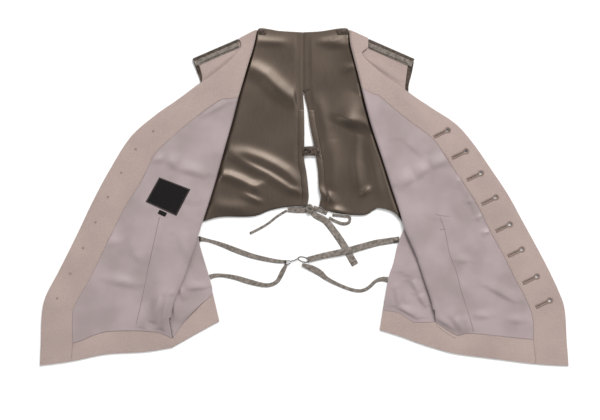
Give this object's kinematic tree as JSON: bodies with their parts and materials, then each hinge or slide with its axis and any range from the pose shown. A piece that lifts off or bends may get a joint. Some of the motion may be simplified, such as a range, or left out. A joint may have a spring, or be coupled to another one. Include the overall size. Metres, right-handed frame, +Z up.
{
  "type": "waistcoat",
  "caption": "Women's waistcoat with a cropped slit back, laid open flat with its lining up, fronts folded out, with belt straps and hem tie.",
  "frame": {"origin": "centre of the bounding box's base, on the surface the garment lies on", "axes": "+Z up from the surface, +Y towards the neck, +X towards the front with the buttonholes"},
  "size_m": [0.7925, 0.5063, 0.0092],
  "materials": {
    "wool": "matte woven wool",
    "lining": "softly shining satin lining",
    "back_satin": "glossy dark satin",
    "patterned_cloth": "mottled woven cloth",
    "label_cloth": "black woven ribbon",
    "button_horn": "mottled horn look",
    "dark_metal": "dark japanned wire"
  },
  "bodies": {
    "root": {"front_left": "wool", "front_right": "wool", "front_facing_left": "wool", "front_facing_right": "wool", "hem_facing_left": "wool", "hem_facing_right": "wool", "side_panel_left": "wool", "side_panel_right": "wool", "front_lining_left": "lining", "front_lining_right": "lining", "side_lining_left": "lining", "side_lining_right": "lining", "back_lining_left": "back_satin", "back_lining_right": "back_satin", "slit_facing_left": "back_satin", "slit_facing_right": "back_satin", "back_shell_left": "patterned_cloth", "back_shell_right": "patterned_cloth", "shoulder_strip_left": "patterned_cloth", "shoulder_strip_right": "patterned_cloth", "neck_stay_left": "patterned_cloth", "neck_stay_right": "patterned_cloth", "strap_left_upper": "patterned_cloth", "strap_left_lower": "patterned_cloth", "strap_right_upper": "patterned_cloth", "strap_right_lower": "patterned_cloth", "tie_left_band": "patterned_cloth", "tie_left_end": "patterned_cloth", "tie_right_band": "patterned_cloth", "tie_right_tail": "patterned_cloth", "tie_loop": "patterned_cloth", "tie_knot": "patterned_cloth", "slit_tab": "patterned_cloth", "label": "label_cloth", "size_tag": "label_cloth", "button_1": "button_horn", "button_2": "button_horn", "button_3": "button_horn", "button_4": "button_horn", "button_5": "button_horn", "button_6": "button_horn", "button_7": "button_horn", "button_8": "button_horn", "belt_ring": "dark_metal", "belt_hook": "dark_metal", "slit_hook": "dark_metal"}
  },
  "joints": []
}
